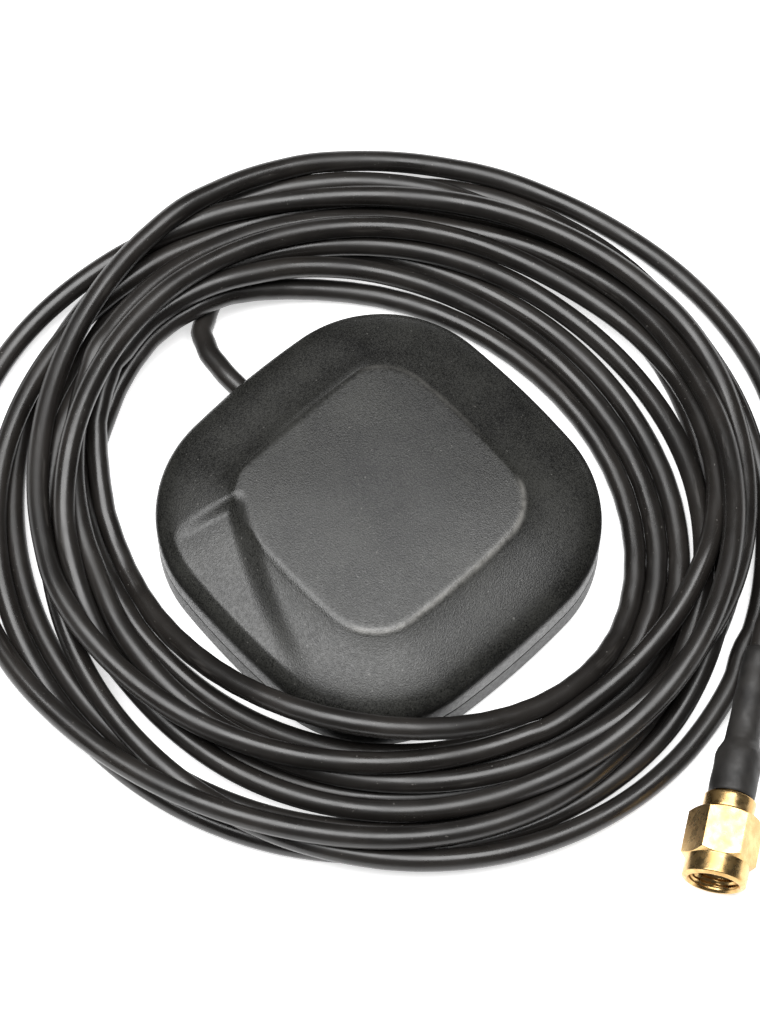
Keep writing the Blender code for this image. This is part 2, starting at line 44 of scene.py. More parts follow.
# ------------------------------------------------------------------ camera
AZIMUTH, ELEVATION, DISTANCE = math.radians(-42.8), math.radians(66.0), 0.450
TARGET = Vector((0.00334, 0.00334, 0.0))
BACK_DIR = Vector((math.sin(AZIMUTH) * math.cos(ELEVATION),
                   -math.cos(AZIMUTH) * math.cos(ELEVATION), math.sin(ELEVATION)))
RIGHT = Vector((math.cos(AZIMUTH), math.sin(AZIMUTH), 0.0))
AWAY = Vector((-math.sin(AZIMUTH), math.cos(AZIMUTH), 0.0))
cam = bpy.data.objects.new("camera", bpy.data.cameras.new("camera"))
scene.collection.objects.link(cam)
cam.location = TARGET + BACK_DIR * DISTANCE
cam.rotation_mode = "QUATERNION"
cam.rotation_quaternion = (-BACK_DIR).to_track_quat("-Z", "Y")
cam.data.sensor_width = 36.0
cam.data.lens = 3533.0 / 1013.0 * 36.0
cam.data.clip_start, cam.data.clip_end = 0.01, 20.0
scene.camera = cam

# ------------------------------------------------------------------ the lead's route
# The coil is settled from a listed route: each turn's (angle, radius in mm) about the
# coil's centre, in a ground frame whose u axis points right and v axis away from the viewer.
COIL_U, COIL_V = -0.5, 3.5
CABLE_D = 2.8
TURN_CA, TURN_SA = math.cos(math.radians(47.2)), math.sin(math.radians(47.2))
TURNS = [
    [(131, 36.0), (122, 39.5), (108, 41.0), (90, 41.8), (60, 42.6), (30, 43.0), (0, 42.6),
     (-30, 41.8), (-60, 40.6), (-90, 39.4), (-120, 38.2), (-150, 37.6), (180, 37.6), (160, 38.0)],
    [(148, 38.2), (137, 37.3), (127, 36.0), (117, 34.6), (108, 33.3), (98, 32.1), (89, 31.0),
     (70, 29.2), (60, 28.6), (51, 28.3), (41, 28.5), (30, 29.2), (20, 30.4), (10, 31.8), (-1, 33.3),
     (-12, 34.4), (-26, 36.0), (-41, 37.1), (-53, 35.5), (-63, 34.3), (-74, 33.6), (-85, 33.4),
     (-95, 33.1), (-107, 32.6), (-120, 31.9), (-136, 31.0), (-147, 30.5), (-157, 30.6), (-168, 32.2),
     (180, 34.2), (170, 36.4), (160, 38.4)],
    [(144, 38.2), (127, 38.0), (112, 36.4), (98, 34.6), (82, 32.8), (66, 31.4), (50, 30.8),
     (30, 31.4), (10, 33.4), (-12, 36.0), (-30, 37.4), (-50, 37.0), (-80, 34.0), (-110, 33.0),
     (-140, 33.4), (-165, 34.6), (176, 36.4), (160, 39.0)],
    [(144, 40.4), (124, 40.4), (100, 38.0), (76, 36.0), (55, 34.6), (35, 34.6), (10, 36.4),
     (-15, 38.8), (-40, 39.6), (-65, 36.8), (-90, 35.0), (-110, 35.6), (-140, 37.4), (-165, 39.4),
     (176, 41.4), (160, 43.0)],
    [(130, 45.0), (100, 45.4), (70, 45.0), (40, 45.0), (10, 45.6), (-20, 45.6), (-50, 44.4),
     (-80, 42.6), (-110, 42.6), (-140, 44.4), (-170, 46.2), (160, 47.2)],
    [(130, 47.4), (100, 46.0), (70, 44.0), (40, 42.4), (10, 42.4), (-20, 43.6), (-50, 45.4),
     (-80, 46.0), (-110, 45.8), (-140, 46.8), (-170, 47.6), (160, 46.8)],
    [(130, 44.6), (100, 42.8), (70, 43.0), (40, 45.4), (10, 48.4), (-10, 50.2), (-24, 51.0),
     (-36, 50.8), (-57, 48.8), (-79, 47.4), (-98, 45.6), (-120, 44.0), (-145, 42.6),
     (-170, 41.0), (160, 40.2)],
    [(135, 38.8), (100, 36.8), (70, 36.0), (40, 37.0), (10, 40.4), (-20, 44.6), (-39, 46.9),
     (-55, 45.8), (-67, 44.8), (-93, 45.3), (-119, 44.8), (-140, 46.4), (-162, 49.4),
     (178, 54.0), (164, 54.8)],
    [(154, 53.2), (145, 50.8), (138, 47.8), (121, 43.9), (107, 41.6), (90, 41.2), (68, 43.0),
     (45, 45.2), (20, 46.0), (-5, 46.3), (-21, 47.3), (-33, 46.2), (-43, 43.1), (-53, 40.5),
     (-67, 38.1), (-80, 37.2), (-105, 36.6), (-130, 36.6), (-155, 37.4), (178, 38.4), (160, 39.4)],
    [(140, 40.0), (120, 40.0), (95, 40.2), (70, 41.4), (45, 43.2), (20, 44.2), (-10, 45.0),
     (-35, 45.4), (-52, 44.4), (-69, 42.5), (-86, 41.5), (-100, 39.8), (-112, 38.7),
     (-130, 38.2), (-155, 38.4), (178, 38.4), (165, 38.4)],
    [(158, 38.4), (148, 38.6), (139, 38.5), (118, 37.7), (104, 37.3), (92, 37.2), (81, 37.4),
     (67, 38.6), (56, 39.6), (44, 41.5), (28, 43.6), (17, 44.9), (5, 45.4), (-4, 45.0),
     (-11, 43.6), (-18, 41.8), (-27, 39.6), (-36, 37.8), (-48, 36.6), (-61, 35.8), (-77, 35.4),
     (-94, 35.8), (-111, 36.8), (-124, 38.2), (-136, 39.2), (-150, 40.2), (-166, 41.2), (178, 42.0)],
    [(165, 42.6), (157, 43.0), (141, 44.8), (132, 45.6), (119, 46.9), (110, 47.9), (99, 48.2),
     (88, 48.6), (76, 49.0), (62, 49.6), (48, 50.6), (34, 51.9), (20, 53.4), (6, 54.6),
     (-6, 54.8), (-15, 53.9)],
]
# how firmly each turn keeps to its place while the coil settles
WEIGHT = [0.4, 1.0, 0.4, 0.4, 0.3, 0.3, 0.8, 0.5, 0.8, 0.6, 1.0, 1.1]
# the innermost turn steps over the lead where it leaves the puck
OVER_LEAD_OUT = (2.8, 4.9, 5.2, 3.7, 2.1, 1.5)
# and leans on the puck's near corner
OVER_CORNER = {-41: 4.0, -53: 5.9, -63: 7.8, -74: 9.4, -85: 10.5, -95: 10.8, -107: 10.2, -120: 8.6,
               -136: 5.8, -147: 3.6, -157: 2.2, -168: 1.9, 180: 2.8, 170: 4.1, 160: 5.5}
TIP = np.array([-2.2, -61.7, 4.05])
BACK = np.array([0.8287, 0.5601, 0.0])
BACK /= np.linalg.norm(BACK)
EXIT = np.array([0.0, 24.6, 4.75])


def ground(u, v):
    x0, y0 = u * TURN_CA - v * TURN_SA, u * TURN_SA + v * TURN_CA
    return y0, -x0


def catmull(points, step):
    """Points about `step` apart on a centripetal Catmull-Rom curve; columns past the third ride along."""
    pts = [np.array(p, float) for p in points]
    k = [2 * pts[0] - pts[1]] + pts + [2 * pts[-1] - pts[-2]]
    out = []
    for i in range(1, len(k) - 2):
        p0, p1, p2, p3 = k[i - 1:i + 3]
        gap = lambda a, b: max(np.linalg.norm((a - b)[:3]) ** 0.5, 1e-6)
        t1 = gap(p0, p1)
        t2 = t1 + gap(p1, p2)
        t3 = t2 + gap(p2, p3)
        n = max(1, int(round(np.linalg.norm((p2 - p1)[:3]) / step)))
        t = (t1 + (t2 - t1) * np.arange(n) / n)[:, None]
        a1 = p0 * ((t1 - t) / t1) + p1 * (t / t1)
        a2 = p1 * ((t2 - t) / (t2 - t1)) + p2 * ((t - t1) / (t2 - t1))
        a3 = p2 * ((t3 - t) / (t3 - t2)) + p3 * ((t - t2) / (t3 - t2))
        b1 = a1 * ((t2 - t) / t2) + a2 * (t / t2)
        b2 = a2 * ((t3 - t) / (t3 - t1)) + a3 * ((t - t1) / (t3 - t1))
        out.append(b1 * ((t2 - t) / (t2 - t1)) + b2 * ((t - t1) / (t2 - t1)))
    out.append(k[-2][None])
    return np.concatenate(out)


def first_lay():
    pts = [(0, 24.6, 4.75, 0, 1), (0, 28.8, 4.72, 0, 1), (0.3, 31.5, 4.4, 0, 1),
           (1.1, 34.2, 3.65, 0, 1), (2.5, 36.7, 2.65, 0, 1), (4.5, 38.8, 1.9, 0, 1),
           (7.0, 40.4, 1.5, 0, 1)]
    last = len(TURNS) - 1
    for k, turn in enumerate(TURNS):
        for j, (a, r) in enumerate(turn):
            if k == 0 and j == 0:
                continue
            r *= 1.022 if k > 1 else 1.0
            x, y = ground(COIL_U + r * math.cos(math.radians(a)), COIL_V + r * math.sin(math.radians(a)))
            z = 3.4 + 2.9 * (k + j / len(turn))
            if k == 0:
                z = 1.5 + 1.2 * max(0, j - 4) / 10
            if k in (2, 3):
                # these pass under the innermost turn, where it leans on the puck's corner
                z += (1.5 + 2.9 * (k - 2) - z) * math.exp(-(((a + 90) / 55.0) ** 4)) if a < 60 else 0.0
            if k == last:
                f = j / (len(turn) - 1)
                z = (3.4 + 2.9 * last) * (1 - f) ** 1.2 + 2.6 * (1 - (1 - f) ** 1.2)
            held = k == 1 or (k == 0 and j < 7)
            if held:
                z = 1.45
            if k == 1 and j < len(OVER_LEAD_OUT):
                z = OVER_LEAD_OUT[j]
            elif k == 1 and a in OVER_CORNER:
                z = OVER_CORNER[a]
            pts.append((x, y, z, 0.9 if k == 0 and j < 5 else WEIGHT[k], float(held)))
    for a in (37.0, 33.0, 31.0, 27.0, 22.0, 18.0):
        p = TIP + BACK * a
        pts.append((p[0], p[1], 4.05 if a < 35 else 3.8, 1, float(a < 35)))
    return catmull(pts, 1.5)


def puck_distance(x, y):
    """Signed distance to the puck's outline in mm, with the outward direction."""
    half, bow, corner = 8.0, 0.29, 17.0
    big = (half * half + bow * bow) / (2 * bow)
    k = big - 25.0
    c = (-2 * k + math.sqrt(4 * k * k - 8 * (k * k - (big - corner) ** 2))) / 4
    ang = math.atan2(c, c + k)
    ax, ay = np.abs(x), np.abs(y)
    swap = ay > ax
    p, q = np.where(swap, ay, ax), np.where(swap, ax, ay)
    on_side = np.arctan2(q, p + k) <= ang
    l1, l2 = np.hypot(p + k, q), np.maximum(np.hypot(p - c, q - c), 1e-9)
    d = np.where(on_side, l1 - big, l2 - corner)
    nx = np.where(on_side, (p + k) / l1, (p - c) / l2)
    ny = np.where(on_side, q / l1, (q - c) / l2)
    return (d, np.where(swap, ny, nx) * np.sign(x + 1e-12),
            np.where(swap, nx, ny) * np.sign(y + 1e-12))


def near_pairs(pts, cut, skip):
    mid = (pts[:-1] + pts[1:]) / 2
    out = []
    for i0 in range(0, len(mid), 256):
        d2 = ((mid[i0:i0 + 256, None, :] - mid[None, :, :]) ** 2).sum(2)
        i, j = np.nonzero(d2 < cut * cut)
        i = i + i0
        keep = j > i + skip
        out.append(np.stack([i[keep], j[keep]], 1))
    return np.concatenate(out)


def closest(pts, i, j):
    p1, q1, p2, q2 = pts[i], pts[i + 1], pts[j], pts[j + 1]
    d1, d2, r = q1 - p1, q2 - p2, p1 - p2
    a, e, f = (d1 * d1).sum(1), (d2 * d2).sum(1), (d2 * r).sum(1)
    c, b = (d1 * r).sum(1), (d1 * d2).sum(1)
    den = a * e - b * b
    s = np.where(den > 1e-9, np.clip((b * f - c * e) / np.maximum(den, 1e-9), 0, 1), 0.5)
    t = (b * s + f) / e
    tc = np.clip(t, 0, 1)
    s = np.where(t != tc, np.clip((b * tc - c) / a, 0, 1), s)
    return s, tc, p1 + d1 * s[:, None] - p2 - d2 * tc[:, None]


RIM_REACH = ((8.0, 9.0, 9.5, 10.0, 10.5, 11.0, 11.5, 12.0, 12.5),
             (1.45, 1.27, 1.05, 0.83, 0.5, 0.0, -0.65, -1.45, -2.6))


def stiffness(P, k):
    """Where each point would lie if the lead ran evenly through its neighbours k and 2k away."""
    out = np.zeros_like(P)
    out[2 * k:-2 * k] = (4 * (P[k:-3 * k] + P[3 * k:-k]) - (P[:-4 * k] + P[4 * k:])) / 6 - P[2 * k:-2 * k]
    return out


def even_out(P, seg):
    s = np.r_[0, np.cumsum(np.linalg.norm(np.diff(P[:, :3], axis=0), axis=1))]
    n = int(round(s[-1] / seg)) + 1
    at = np.linspace(0, s[-1], n)
    return np.stack([np.interp(at, s, P[:, k]) for k in range(P.shape[1])], 1), s[-1] / (n - 1)


def relax(P, fixed, rest, passes, drop, bends, pull=None, cut=8.0):
    """Lets the lead lie down: bending stiffness, even length, no strand in another, floor and puck."""
    free = ~fixed
    n = len(P)
    index = np.arange(n)
    tail = int(55 / rest)
    head = int(8 / rest)
    sleeve0, sleeve1 = TIP + BACK * 17.0, TIP + BACK * 31.0
    ab = sleeve1 - sleeve0
    skip = max(2, int(6 / rest))
    halves = []
    for odd in (0, 1):
        i = np.arange(odd, n - 1, 2)
        wi, wj = free[i].astype(float), free[i + 1].astype(float)
        halves.append((i, wi[:, None], wj[:, None], np.maximum(wi + wj, 1e-9)))
    window = np.ones(15)
    cover = np.convolve(np.ones(n - 1), window, "same")
    for it in range(passes):
        f = it / passes
        P[free, 2] -= drop(f)
        if pull is not None:
            target, weight, amount = pull
            P[free, :2] += np.clip((target - P[:, :2]) * (amount(f) * weight)[:, None], -0.12, 0.12)[free]
        for k, amount in bends:
            P[free] += (amount * (1 - 0.7 * f) * stiffness(P, k))[free]
        if it % 8 == 0:
            pairs = near_pairs(P, cut, skip)
        for _ in range(3):
            d = P[1:] - P[:-1]
            spacing = np.convolve(np.linalg.norm(d, axis=1), window, "same") / cover
            for i, wi, wj, total in halves:
                d = P[i + 1] - P[i]
                length = np.linalg.norm(d, axis=1)
                c = ((length - spacing[i]) / length / total)[:, None] * d * 0.8
                P[i] += c * wi
                P[i + 1] -= c * wj
            I, J = pairs[:, 0], pairs[:, 1]
            sI, tJ, dv = closest(P, I, J)
            dist = np.linalg.norm(dv, axis=1)
            hit = dist < CABLE_D
            if hit.any():
                I, J, sI, tJ, dv, dist = I[hit], J[hit], sI[hit], tJ[hit], dv[hit], dist[hit]
                # a strand laid later comes to lie on top of an earlier one
                dv[:, 2] -= 1.5 * np.maximum(0.0, 1.2 - dist)
                away = dv / np.maximum(np.linalg.norm(dv, axis=1), 1e-6)[:, None]
                w = np.stack([1 - sI, sI, 1 - tJ, tJ], 1)
                idx = np.stack([I, I + 1, J, J + 1], 1)
                can = free[idx].astype(float)
                lam = (CABLE_D - dist) * 0.5 / np.maximum((w * w * can).sum(1), 1e-6)
                move = (w * can * lam[:, None])[:, :, None] * away[:, None, :] * np.array([1, 1, -1, -1])[None, :, None]
                flat, vec = idx.ravel(), move.reshape(-1, 3)
                count = np.bincount(flat, minlength=n)
                acc = np.stack([np.bincount(flat, vec[:, c], n) for c in range(3)], 1)
                P += acc * (np.minimum(count, 2.0) / np.maximum(count, 1))[:, None]
            t = np.clip(((P - sleeve0) @ ab) / (ab @ ab), 0, 1)
            dd = P - sleeve0 - t[:, None] * ab
            dl = np.linalg.norm(dd, axis=1)
            m = (dl < 3.55) & free & (index < n - tail)
            P[m] += dd[m] / np.maximum(dl[m], 1e-6)[:, None] * (3.55 - dl[m])[:, None]
            sd, gx, gy = puck_distance(P[:, 0], P[:, 1])
            need = np.interp(P[:, 2], *RIM_REACH)
            m = (sd < need) & free & (P[:, 2] < 12.5) & (index > head)
            P[m, 0] += (gx * (need - sd))[m]
            P[m, 1] += (gy * (need - sd))[m]
            P[free, 2] = np.maximum(P[free, 2], CABLE_D / 2 + 0.01)
    return P


def settle(quick):
    """The route as it lies: the lead falls turn by turn on the floor and on itself."""
    lay, rest = even_out(first_lay(), 4.0)
    P, fixed = lay[:, :3].copy(), lay[:, 4] > 0.5
    target = lay[:, :2].copy()
    for k in (1, 2, 3):
        for _ in range(30):
            target[~fixed] += (0.5 * stiffness(target, k))[~fixed]
    weight = lay[:, 3].copy()
    held = fixed.copy()
    held[:3] = held[-12:] = False
    for k in (1, 2, 3):
        for _ in range(10):
            P[held, :2] += (0.5 * stiffness(P, k))[held, :2]
    for _ in range(5):
        P[held, 2] += (0.5 * stiffness(P, 1))[held, 2]
    P[held, 2] = np.maximum(P[held, 2], 1.42)
    P = relax(P, fixed, rest, 260 if quick else 460,
              lambda f: (0.30 if quick else 0.17) * min(1.0, 4.2 * (1 - f)) + 0.01,
              ((1, 0.5), (2, 0.35), (3, 0.25)),
              (target, weight, lambda f: 0.12 if f < 0.8 else 0.05))
    for seg, passes in ((4.0, 60), (2.0, 50 if quick else 100)):
        lay, rest = even_out(np.c_[P, fixed, target, weight], seg)
        P, fixed, target, weight = lay[:, :3].copy(), lay[:, 3] > 0.5, lay[:, 4:6], lay[:, 6]
        fixed[0] = fixed[-1] = True
        P = relax(P, fixed, rest, passes, lambda f: 0.004,
                  ((1, 0.4), (2, 0.3), (4, 0.25), (6, 0.12)) if seg < 3 else ((1, 0.4), (2, 0.3), (3, 0.2)),
                  (target, weight, lambda f: 0.04), cut=6.0)
    return P


coil = settle(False)
inside = np.array([(0.0, y, 4.75) for y in (16.9, 19.0, 21.5)])
route = catmull(np.concatenate([inside, coil]), 1.0)

# ------------------------------------------------------------------ mesh helpers


def new_object(name, mesh, matrix=None):
    ob = bpy.data.objects.new(name, mesh)
    scene.collection.objects.link(ob)
    if matrix is not None:
        ob.matrix_world = matrix
    return ob


def smooth(ob, angle=35.0):
    ob.data.shade_smooth()
    ob.data.set_sharp_from_angle(angle=math.radians(angle))
    return ob


def attribute(mesh, name, values):
    kind = "FLOAT_VECTOR" if np.ndim(values) == 2 else "FLOAT"
    at = mesh.attributes.new(name, kind, "POINT")
    at.data.foreach_set("vector" if kind == "FLOAT_VECTOR" else "value",
                        np.asarray(values, np.float32).ravel())


def grid_mesh(name, rings, close_path=False, cap_start=False, cap_end=False):
    """Quads between rings of equal length; caps are n-gons."""
    rings = np.asarray(rings, float)
    m, n = rings.shape[:2]
    verts = rings.reshape(-1, 3)
    a = np.arange(m * n).reshape(m, n)
    b = np.roll(a, -1, axis=0) if close_path else a[1:]
    a0 = a if close_path else a[:-1]
    quads = np.stack([a0, np.roll(a0, -1, 1), np.roll(b, -1, 1), b], -1).reshape(-1, 4).tolist()
    if cap_start:
        quads.append(a[0][::-1].tolist())
    if cap_end:
        quads.append(a[-1].tolist())
    me = bpy.data.meshes.new(name)
    me.from_pydata(verts.tolist(), [], quads)
    me.update()
    return me


def outward(mesh):
    bm = bmesh.new()
    bm.from_mesh(mesh)
    bmesh.ops.recalc_face_normals(bm, faces=bm.faces)
    bm.to_mesh(mesh)
    bm.free()
    return mesh


def tube_mesh(name, pts, radius, sides):
    """A tube along pts in mm, with the point's place in the straightened tube kept as `straight`."""
    tangent = np.gradient(pts, axis=0)
    tangent /= np.linalg.norm(tangent, axis=1)[:, None]
    normal = np.cross(tangent[0], (0.3, 0.1, 1.0))
    normal /= np.linalg.norm(normal)
    normals = [normal]
    for t0, t1 in zip(tangent, tangent[1:]):
        axis = np.cross(t0, t1)
        s = np.linalg.norm(axis)
        v = normals[-1]
        if s > 1e-9:
            axis /= s
            ang = math.atan2(s, float(t0 @ t1))
            v = v * math.cos(ang) + np.cross(axis, v) * math.sin(ang) + axis * (axis @ v) * (1 - math.cos(ang))
        v = v - t1 * (t1 @ v)
        normals.append(v / np.linalg.norm(v))
    normals = np.array(normals)
    binormal = np.cross(tangent, normals)
    phi = 2 * math.pi * np.arange(sides) / sides
    along = np.r_[0, np.cumsum(np.linalg.norm(np.diff(pts, axis=0), axis=1))]
    # extrusion leaves the jacket very slightly uneven
    wave = 0.012 * np.sin(along * 0.35) * np.sin(along * 0.083 + 1.0)
    r = radius + wave[:, None] * np.cos(phi * 2 + along[:, None] * 0.05)
    rings = pts[:, None, :] + r[..., None] * (np.cos(phi)[None, :, None] * normals[:, None, :]
                                              + np.sin(phi)[None, :, None] * binormal[:, None, :])
    me = outward(grid_mesh(name, rings * MM, cap_start=True, cap_end=True))
    straight = np.zeros((len(pts), sides, 3))
    straight[..., 0] = along[:, None]
    straight[..., 1] = radius * np.cos(phi)
    straight[..., 2] = radius * np.sin(phi)
    attribute(me, "straight", straight.reshape(-1, 3) * MM)
    return me


# ------------------------------------------------------------------ material helpers


class Shader:
    """A Principled material whose colour, roughness and bump come from nodes."""

    def __init__(self, name, metal=0.0, specular=0.5, coat=0.0, coat_rough=0.1, sheen=0.0):
        self.mat = bpy.data.materials.new(name)
        self.mat.use_nodes = True
        self.tree = self.mat.node_tree
        self.bsdf = self.tree.nodes["Principled BSDF"]
        self.bsdf.inputs["Metallic"].default_value = metal
        self.bsdf.inputs["Specular IOR Level"].default_value = specular
        self.bsdf.inputs["Coat Weight"].default_value = coat
        self.bsdf.inputs["Coat Roughness"].default_value = coat_rough
        self.bsdf.inputs["Sheen Weight"].default_value = sheen
        self.normal = None
        self.object = self.node("ShaderNodeTexCoord").outputs["Object"]

    def node(self, kind, **values):
        n = self.tree.nodes.new(kind)
        for k, v in values.items():
            setattr(n, k, v)
        return n

    def link(self, a, b):
        self.tree.links.new(a, b)

    def space(self, scale=(1, 1, 1), source=None):
        """Object or attribute space, stretched by scale."""
        if source is None:
            out = self.object
        else:
            out = self.node("ShaderNodeAttribute", attribute_name=source).outputs["Vector"]
        if scale == (1, 1, 1):
            return out
        m = self.node("ShaderNodeVectorMath", operation="MULTIPLY")
        self.link(out, m.inputs[0])
        m.inputs[1].default_value = scale
        return m.outputs[0]

    def noise(self, scale, detail=3.0, rough=0.55, space=None, distort=0.0):
        n = self.node("ShaderNodeTexNoise")
        n.inputs["Scale"].default_value = scale
        n.inputs["Detail"].default_value = detail
        n.inputs["Roughness"].default_value = rough
        n.inputs["Distortion"].default_value = distort
        self.link(space or self.object, n.inputs["Vector"])
        return n.outputs["Fac"]

    def cells(self, scale, space=None, feature="F1"):
        n = self.node("ShaderNodeTexVoronoi", feature=feature)
        n.inputs["Scale"].default_value = scale
        self.link(space or self.object, n.inputs["Vector"])
        return n.outputs["Distance"]

    def ramp(self, fac, low, high, out_low=0.0, out_high=1.0):
        n = self.node("ShaderNodeMapRange", interpolation_type="SMOOTHSTEP")
        self.link(fac, n.inputs["Value"])
        n.inputs["From Min"].default_value = low
        n.inputs["From Max"].default_value = high
        n.inputs["To Min"].default_value = out_low
        n.inputs["To Max"].default_value = out_high
        return n.outputs["Result"]

    def math(self, op, a, b):
        n = self.node("ShaderNodeMath", operation=op)
        for i, v in enumerate((a, b)):
            if isinstance(v, (int, float)):
                n.inputs[i].default_value = v
            else:
                self.link(v, n.inputs[i])
        return n.outputs[0]

    def mix(self, fac, a, b):
        n = self.node("ShaderNodeMix", data_type="RGBA")
        self.link(fac, n.inputs[0])
        for sock, v in ((n.inputs[6], a), (n.inputs[7], b)):
            if isinstance(v, tuple):
                sock.default_value = (*v, 1.0)
            else:
                self.link(v, sock)
        return n.outputs[2]

    def bump(self, height, strength, distance):
        n = self.node("ShaderNodeBump")
        n.inputs["Strength"].default_value = strength
        n.inputs["Distance"].default_value = distance
        self.link(height, n.inputs["Height"])
        if self.normal is not None:
            self.link(self.normal, n.inputs["Normal"])
        self.normal = n.outputs["Normal"]

    def done(self, colour, rough):
        self.link(colour, self.bsdf.inputs["Base Color"])
        self.link(rough, self.bsdf.inputs["Roughness"])
        if self.normal is not None:
            self.link(self.normal, self.bsdf.inputs["Normal"])
        return self.mat


def plastic_grain(name, dark, light, rough, grain=4200.0, depth=0.00004, strength=0.5,
                  edge=False, specular=0.5):
    s = Shader(name, specular=specular)
    fine = s.noise(grain, 2.0, 0.6)
    cell = s.cells(grain * 0.9)
    mottle = s.noise(110.0, 4.0, 0.6)
    blend = s.math("ADD", s.math("MULTIPLY", fine, 0.65), s.math("MULTIPLY", mottle, 0.35))
    colour = s.mix(s.ramp(blend, 0.36, 0.64), dark, light)
    dust = s.ramp(s.noise(1900.0, 1.0, 0.5), 0.755, 0.80)
    colour = s.mix(s.math("MULTIPLY", dust, 0.25), colour, (0.30, 0.29, 0.27))
    r = s.ramp(s.noise(2300.0, 3.0, 0.6), 0.3, 0.7, rough - 0.07, rough + 0.07)
    height = s.math("ADD", s.math("MULTIPLY", fine, 0.7), s.math("MULTIPLY", cell, 0.5))
    if edge:
        # the moulding's convex edges are rubbed smoother than the stippled faces
        worn = s.node("ShaderNodeAttribute", attribute_name="worn").outputs["Fac"]
        r = s.math("SUBTRACT", r, s.math("MULTIPLY", worn, 0.16))
        height = s.math("MULTIPLY", height, s.math("SUBTRACT", 1.0, s.math("MULTIPLY", worn, 0.5)))
        # a painted highlight: one side of the plateau's edge is painted lighter, in a broken band
        painted_highlight = s.node("ShaderNodeAttribute", attribute_name="painted_highlight").outputs["Fac"]
        painted_highlight_amount = s.math("MULTIPLY", painted_highlight, s.ramp(s.noise(700.0, 3.0, 0.6), 0.25, 0.6, 0.35, 0.9))
        colour = s.mix(painted_highlight_amount, colour, (0.21, 0.205, 0.192))
    s.bump(height, strength, depth)
    return s.done(colour, r)


def simple(name, dark, light, rough, metal=0.0, scale=700.0, fine=5000.0, depth=0.00001,
           strength=0.3, spread=0.06, stretch=(1, 1, 1), specular=0.5, coat=0.0):
    s = Shader(name, metal=metal, specular=specular, coat=coat)
    space = s.space(stretch)
    colour = s.mix(s.ramp(s.noise(scale, 4.0, 0.6, space), 0.35, 0.65), dark, light)
    r = s.ramp(s.noise(scale * 1.7, 3.0, 0.6, space), 0.3, 0.7, max(rough - spread, 0.03), rough + spread)
    s.bump(s.noise(fine, 2.0, 0.6, space), strength, depth)
    return s.done(colour, r)


def jacket_material():
    s = Shader("jacket_pvc", specular=0.55)
    along = s.space((1, 1, 1), "straight")
    drawn = s.space((0.06, 1, 1), "straight")
    patch = s.noise(70.0, 4.0, 0.6, along)
    lines = s.noise(2600.0, 2.0, 0.6, drawn)
    colour = s.mix(s.ramp(patch, 0.35, 0.68), (0.0095, 0.0084, 0.0076), (0.0215, 0.0190, 0.0170))
    rubbed = s.ramp(s.noise(900.0, 3.0, 0.65, s.space((0.12, 1, 1), "straight")), 0.60, 0.74)
    colour = s.mix(s.math("MULTIPLY", rubbed, 0.5), colour, (0.050, 0.046, 0.042))
    dust = s.ramp(s.noise(2400.0, 1.0, 0.5, along), 0.745, 0.80)
    colour = s.mix(s.math("MULTIPLY", dust, 0.22), colour, (0.42, 0.40, 0.37))
    r = s.ramp(s.noise(420.0, 4.0, 0.65, s.space((0.2, 1, 1), "straight")), 0.28, 0.70, 0.21, 0.42)
    r = s.math("ADD", r, s.math("MULTIPLY", rubbed, 0.10))
    s.bump(lines, 0.22, 0.000012)
    s.bump(s.noise(650.0, 3.0, 0.6, along), 0.25, 0.00003)
    return s.done(colour, r)


def shrink_material():
    s = Shader("heat_shrink_sleeve", specular=0.4)
    fine = s.noise(5200.0, 3.0, 0.65)
    colour = s.mix(s.ramp(s.noise(260.0, 4.0, 0.6), 0.35, 0.65), (0.016, 0.0150, 0.0142), (0.028, 0.026, 0.024))
    r = s.ramp(s.noise(900.0, 3.0, 0.6), 0.3, 0.7, 0.42, 0.58)
    s.bump(fine, 0.35, 0.00002)
    s.bump(s.noise(420.0, 2.0, 0.5, s.space((1, 1, 2.2))), 0.3, 0.00008)
    return s.done(colour, r)


def gold_material(name, tint=1.0, rough=0.2):
    s = Shader(name, metal=1.0)
    turned = s.space((90.0, 90.0, 9000.0))
    tool = s.noise(1.0, 3.0, 0.6, turned)
    tarnish = s.noise(420.0, 4.0, 0.65)
    light = (0.74 * tint, 0.515 * tint, 0.235 * tint)
    dark = (0.56 * tint, 0.35 * tint, 0.135 * tint)
    colour = s.mix(s.ramp(tarnish, 0.30, 0.62), light, dark)
    r = s.ramp(s.noise(800.0, 3.0, 0.6), 0.3, 0.7, rough - 0.07, rough + 0.08)
    s.bump(tool, 0.25, 0.000006)
    s.bump(s.noise(1500.0, 3.0, 0.6), 0.18, 0.000012)
    return s.done(colour, r)


def board_material():
    s = Shader("solder_masked_board", specular=0.5, coat=0.2)
    weave = s.node("ShaderNodeTexWave", wave_type="BANDS", bands_direction="DIAGONAL")
    weave.inputs["Scale"].default_value = 900.0
    weave.inputs["Distortion"].default_value = 1.2
    s.link(s.object, weave.inputs["Vector"])
    colour = s.mix(s.ramp(s.noise(350.0, 3.0, 0.6), 0.35, 0.65), (0.010, 0.085, 0.035), (0.016, 0.120, 0.050))
    colour = s.mix(s.math("MULTIPLY", weave.outputs["Fac"], 0.15), colour, (0.035, 0.17, 0.07))
    s.bump(weave.outputs["Fac"], 0.2, 0.00001)
    return s.done(colour, s.ramp(s.noise(1200.0, 2.0, 0.5), 0.3, 0.7, 0.3, 0.42))


